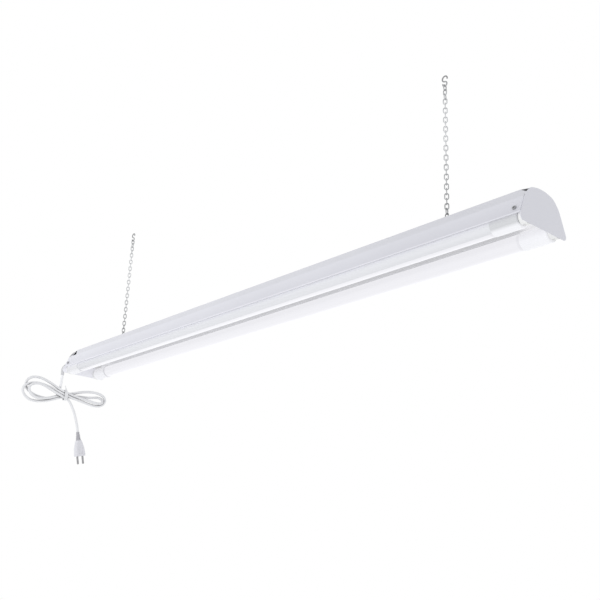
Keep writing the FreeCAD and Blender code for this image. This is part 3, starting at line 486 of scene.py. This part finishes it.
# painted shade: the cord is darkened where the ambient occlusion node finds other strands close, in the creases of the
# bundle
ao = nt.nodes.new("ShaderNodeAmbientOcclusion")
ao.inputs["Distance"].default_value = 0.011
ao.samples = 8
painted_crease_shade = nt.nodes.new("ShaderNodeMapRange")
painted_crease_shade.inputs["From Min"].default_value = 0.25
painted_crease_shade.inputs["From Max"].default_value = 0.85
painted_crease_shade.inputs["To Min"].default_value = 0.30
painted_crease_shade.inputs["To Max"].default_value = 1.0
nt.links.new(ao.outputs["AO"], painted_crease_shade.inputs["Value"])
dark = nt.nodes.new("ShaderNodeVectorMath")
dark.operation = "SCALE"
nt.links.new(src, dark.inputs[0])
# painted light: the drop from the housing down to the bundle is painted lighter and given a faint glow
tc = nt.nodes.new("ShaderNodeTexCoord")
so = nt.nodes.new("ShaderNodeSeparateXYZ")
nt.links.new(tc.outputs["Object"], so.inputs["Vector"])
flat = nt.nodes.new("ShaderNodeVectorMath")
flat.operation = "MULTIPLY"
flat.inputs[1].default_value = (1.0, 1.0, 0.0)
nt.links.new(tc.outputs["Object"], flat.inputs[0])
away = nt.nodes.new("ShaderNodeVectorMath")
away.operation = "DISTANCE"
away.inputs[1].default_value = (-0.6260, -0.0446, 0.0)
nt.links.new(flat.outputs["Vector"], away.inputs[0])
drop = nt.nodes.new("ShaderNodeMath")
drop.operation = "MULTIPLY"
nt.links.new(remap(nt, away.outputs["Value"], 1.0, 0.0, 0.0075, 0.0115), drop.inputs[0])
nt.links.new(remap(nt, so.outputs["Z"], 0.0, 1.0, -0.3570, -0.3400), drop.inputs[1])
painted_shade_and_light = nt.nodes.new("ShaderNodeMath")
painted_shade_and_light.operation = "MULTIPLY"
nt.links.new(painted_crease_shade.outputs["Result"], painted_shade_and_light.inputs[0])
nt.links.new(remap(nt, drop.outputs["Value"], 1.0, 1.10, 0.0, 1.0), painted_shade_and_light.inputs[1])
nt.links.new(painted_shade_and_light.outputs["Value"], dark.inputs["Scale"])
nt.links.new(dark.outputs["Vector"], bs.inputs["Base Color"])
nt.links.new(ramp(nt, drop.outputs["Value"], [(0.0, (0.0, 0.0, 0.0)), (1.0, (0.035, 0.035, 0.035))]),
             bs.inputs["Emission Color"])
bs.inputs["Emission Strength"].default_value = 1.0
cord.data.materials.append(M["cord_pvc"])

# ------------------------------------------------------------------ wire tie round the waist of the bundle
def ribbon(name, frames, half_w, half_t):
    """Flat strip with rounded edges through frames of (centre, width direction, outward direction)."""
    bm = bmesh.new()
    rings = []
    ring2d = []
    for k in range(12):
        a = 2 * math.pi * k / 12
        ca, sa = math.cos(a), math.sin(a)
        ring2d.append((math.copysign(abs(ca) ** 0.7, ca) * half_w, math.copysign(abs(sa) ** 0.8, sa) * half_t))
    for c, w, n in frames:
        rings.append([bm.verts.new(Vector(c) + Vector(w) * u + Vector(n) * v) for u, v in ring2d])
    for a, b in zip(rings[:-1], rings[1:]):
        for k in range(12):
            bm.faces.new((a[k], a[(k + 1) % 12], b[(k + 1) % 12], b[k]))
    bm.faces.new(rings[0][::-1])
    bm.faces.new(rings[-1])
    bmesh.ops.recalc_face_normals(bm, faces=bm.faces[:])
    return mesh_from_bm(name, bm)


wind = []
TURNS = 2.2
for i in range(131):
    t = TURNS * i / 130
    a = 2 * math.pi * t - 0.9
    ca, sa = math.cos(a), math.sin(a)
    hx, hz = 0.00665, 0.01130
    e = 0.45
    c = Vector((-0.6222 + hx * math.copysign(abs(ca) ** e, ca), -0.0356 + 0.0058 * t / TURNS,
                -0.3531 + hz * math.copysign(abs(sa) ** e, sa)))
    c += Vector((ca, 0, sa)) * 0.0005 * t / TURNS
    n = Vector((ca / hx, 0, sa / hz)).normalized()
    wind.append((c, Vector((0, 1, 0)), n))
tie = ribbon("wire_tie", wind, 0.0013, 0.00045)
ends = []
for side in (0.0, math.pi):
    fr = []
    for i in range(61):
        s = i / 60
        p = Vector((-0.6149, -0.0338, -0.3455)).lerp(Vector((-0.6146, -0.0384, -0.3335)), s)
        spread = 0.00075 if s < 0.62 else 0.00075 + (s - 0.62) * 0.0075
        a = side + 2 * math.pi * 3.2 * min(s, 0.62)
        d = Vector((math.cos(a) * 0.55, math.sin(a), 0.35 * math.sin(a)))
        c = p + d * spread
        w = Vector((0.3, math.cos(a), math.sin(a))).normalized()
        axis = Vector((0.0003, -0.0046, 0.012)).normalized()
        w = (w - axis * w.dot(axis)).normalized()
        fr.append((c, w, axis.cross(w)))
    ends.append(ribbon("wire_tie_end_%d" % (1 if side == 0.0 else 2), fr, 0.0008, 0.0004))
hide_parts("cord_tie")
for o in [tie] + ends:
    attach(o, "fixture")
    o.data.materials.append(M["tie_plastic"])

# ------------------------------------------------------------------ floor, light and background
bm = bmesh.new()
bmesh.ops.create_grid(bm, x_segments=8, y_segments=8, size=150.0)
floor = mesh_from_bm("floor", bm, smooth=False)
floor.location = (0, 0, -6.0)
fm, fnt, fbs = new_mat("floor_paint")
fv = coords(fnt)
fnt.links.new(ramp(fnt, noise(fnt, fv, 0.6, 4.0), [(0.3, (0.655, 0.66, 0.665)), (0.7, (0.675, 0.68, 0.685))]),
              fbs.inputs["Base Color"])
fbs.inputs["Roughness"].default_value = 0.75
floor.data.materials.append(fm)
floor.visible_diffuse = False
floor.visible_glossy = False
floor.visible_shadow = False
floor.visible_transmission = False

world = bpy.data.worlds.new("studio")
scene.world = world
world.use_nodes = True
wnt = world.node_tree
wnt.nodes.clear()
wout = wnt.nodes.new("ShaderNodeOutputWorld")
bg_cam = wnt.nodes.new("ShaderNodeBackground")
bg_cam.inputs["Color"].default_value = (1, 1, 1, 1)
bg_cam.inputs["Strength"].default_value = 1.0
bg = wnt.nodes.new("ShaderNodeBackground")
tc = wnt.nodes.new("ShaderNodeTexCoord")
sp = wnt.nodes.new("ShaderNodeSeparateXYZ")
wnt.links.new(tc.outputs["Generated"], sp.inputs["Vector"])
gz = wnt.nodes.new("ShaderNodeMapRange")
gz.inputs["From Min"].default_value = -1.0
gz.inputs["From Max"].default_value = 1.0
gz.inputs["To Min"].default_value = 1.26
gz.inputs["To Max"].default_value = 0.80
wnt.links.new(sp.outputs["Z"], gz.inputs["Value"])
gx = wnt.nodes.new("ShaderNodeMapRange")
gx.inputs["From Min"].default_value = 0.0
gx.inputs["From Max"].default_value = 1.0
gx.inputs["To Min"].default_value = 1.0
gx.inputs["To Max"].default_value = 0.86
wnt.links.new(sp.outputs["X"], gx.inputs["Value"])
mu = wnt.nodes.new("ShaderNodeMath")
mu.operation = "MULTIPLY"
wnt.links.new(gz.outputs["Result"], mu.inputs[0])
wnt.links.new(gx.outputs["Result"], mu.inputs[1])
nadir = wnt.nodes.new("ShaderNodeMapRange")
nadir.inputs["From Min"].default_value = -0.97
nadir.inputs["From Max"].default_value = -0.62
nadir.inputs["To Min"].default_value = 0.55
nadir.inputs["To Max"].default_value = 1.0
wnt.links.new(sp.outputs["Z"], nadir.inputs["Value"])
mu2 = wnt.nodes.new("ShaderNodeMath")
mu2.operation = "MULTIPLY"
wnt.links.new(mu.outputs["Value"], mu2.inputs[0])
wnt.links.new(nadir.outputs["Result"], mu2.inputs[1])
wnt.links.new(mu2.outputs["Value"], bg.inputs["Strength"])
bg.inputs["Color"].default_value = (0.975, 0.985, 1.0, 1)
lp = wnt.nodes.new("ShaderNodeLightPath")
mx = wnt.nodes.new("ShaderNodeMixShader")
wnt.links.new(lp.outputs["Is Camera Ray"], mx.inputs["Fac"])
wnt.links.new(bg.outputs["Background"], mx.inputs[1])
wnt.links.new(bg_cam.outputs["Background"], mx.inputs[2])
wnt.links.new(mx.outputs["Shader"], wout.inputs["Surface"])


def softbox(name, loc, target, size, power):
    ld = bpy.data.lights.new(name, "AREA")
    ld.shape = "RECTANGLE"
    ld.size, ld.size_y = size
    ld.energy = power
    o = link_obj(name, ld)
    o.location = loc
    o.rotation_mode = "QUATERNION"
    o.rotation_quaternion = (Vector(target) - Vector(loc)).to_track_quat("-Z", "Y")
    return o


softbox("key", (0.4, -2.6, -0.9), (0, 0, -0.28), (2.4, 1.2), 10.0)

scene.view_settings.view_transform = "Standard"
scene.view_settings.look = "None"
scene.view_settings.exposure = 0.0
scene.view_settings.gamma = 1.0
